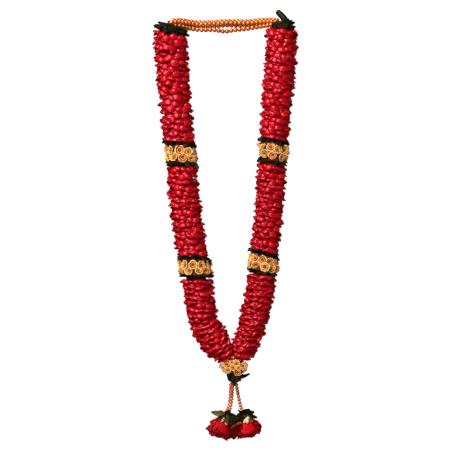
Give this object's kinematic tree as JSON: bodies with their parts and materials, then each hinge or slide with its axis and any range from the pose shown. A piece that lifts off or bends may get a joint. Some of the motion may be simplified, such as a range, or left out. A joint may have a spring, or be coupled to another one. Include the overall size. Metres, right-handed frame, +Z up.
{
  "type": "rose petal garland",
  "caption": "Garland of thick ropes of threaded rose petals with bands of cream roses, joined by bead strands at the neck and by a rose cluster with a tassel of beads and red roses.",
  "frame": {"origin": "on the surface that the garland lies on, under the middle of its box", "axes": "+Z up from the surface, +Y from the tassel to the neck strands, +X to the right seen from above with the neck at the top"},
  "size_m": [0.2798, 0.816, 0.0664],
  "materials": {
    "rope_petals": "soft crimson petals with a satin sheen and darker edges",
    "rose_petals": "velvety deep red petals",
    "cream_petals": "matt cream petals with ochre hearts",
    "dark_leaves": "dark green leaves, satin above",
    "gilt_beads": "gilt, glossy",
    "cotton": "matt twisted thread"
  },
  "bodies": {
    "root": {"cluster_leaves": "dark_leaves", "cluster_roses": "cream_petals", "cotton_string": "cotton", "left_petals_1": "rope_petals", "left_petals_2": "rope_petals", "left_petals_3": "rope_petals", "left_roses_1": "cream_petals", "left_roses_2": "cream_petals", "left_ruff_1a": "dark_leaves", "left_ruff_1b": "dark_leaves", "left_ruff_2a": "dark_leaves", "left_ruff_2b": "dark_leaves", "left_tassel_leaves": "dark_leaves", "left_tassel_rose": "rose_petals", "left_top_ruff": "dark_leaves", "neck_beads_back": "gilt_beads", "neck_beads_front": "gilt_beads", "neck_beads_loose": "gilt_beads", "neck_beads_riding": "gilt_beads", "right_petals_1": "rope_petals", "right_petals_2": "rope_petals", "right_petals_3": "rope_petals", "right_roses_1": "cream_petals", "right_roses_2": "cream_petals", "right_ruff_1a": "dark_leaves", "right_ruff_1b": "dark_leaves", "right_ruff_2a": "dark_leaves", "right_ruff_2b": "dark_leaves", "right_tassel_leaves": "dark_leaves", "right_tassel_rose": "rose_petals", "right_top_ruff": "dark_leaves", "tassel_beads_left": "gilt_beads", "tassel_beads_middle": "gilt_beads", "tassel_beads_right": "gilt_beads"}
  },
  "joints": []
}
